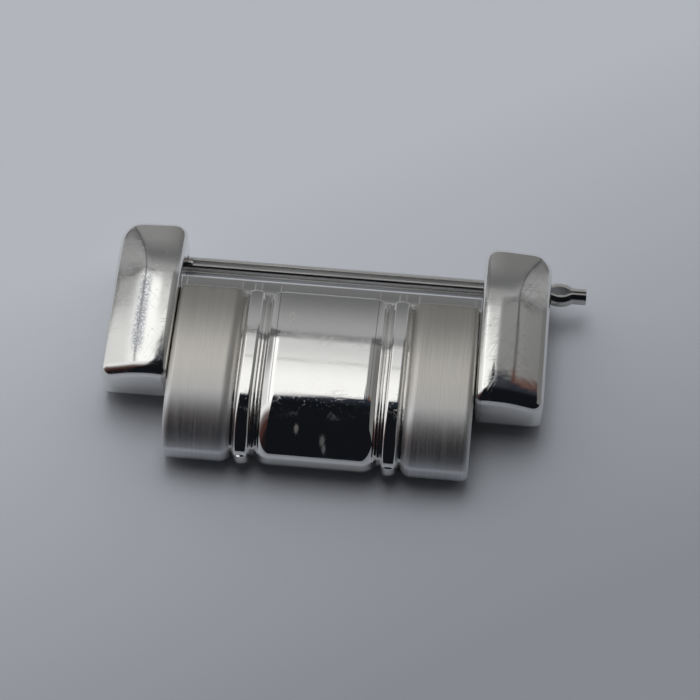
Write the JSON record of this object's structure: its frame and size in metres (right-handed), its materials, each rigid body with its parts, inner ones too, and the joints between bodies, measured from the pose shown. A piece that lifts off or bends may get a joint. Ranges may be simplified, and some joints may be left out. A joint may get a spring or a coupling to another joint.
{
  "type": "watch bracelet link",
  "caption": "Steel bracelet link with a ribbed, polished and brushed centre block, hinged outer side links and a removable split pin.",
  "frame": {"origin": "middle of the nose bore at the front of the centre block, half way across the link", "axes": "+X along the pins, towards the split pin's sprung tip; +Y along the bracelet, from the nose bore to the split pin; +Z away from the wrist, on the dial side"},
  "size_m": [0.0216, 0.0111, 0.0036],
  "materials": {
    "block_steel": "polished centre row and beads, brushed side rows",
    "outer_steel": "polished, lightly scratched",
    "pin_steel": "bright drawn"
  },
  "bodies": {
    "centre_block": {"centre_block": "block_steel"},
    "outer_links": {"outer_link_left": "outer_steel", "outer_link_right": "outer_steel", "hinge_pin": "pin_steel"},
    "split_pin": {"split_pin": "pin_steel"}
  },
  "joints": [
    {"name": "outer_links_hinge", "type": "hinge", "parent": "centre_block", "child": "outer_links", "pos_m": [0, 0.0041, 0], "axis": [1, 0, 0], "range_deg": [-140, 140]},
    {"name": "split_pin_slide", "type": "slide", "parent": "outer_links", "child": "split_pin", "axis": [1, 0, 0], "range_m": [-0.0023, 0.0173]}
  ]
}
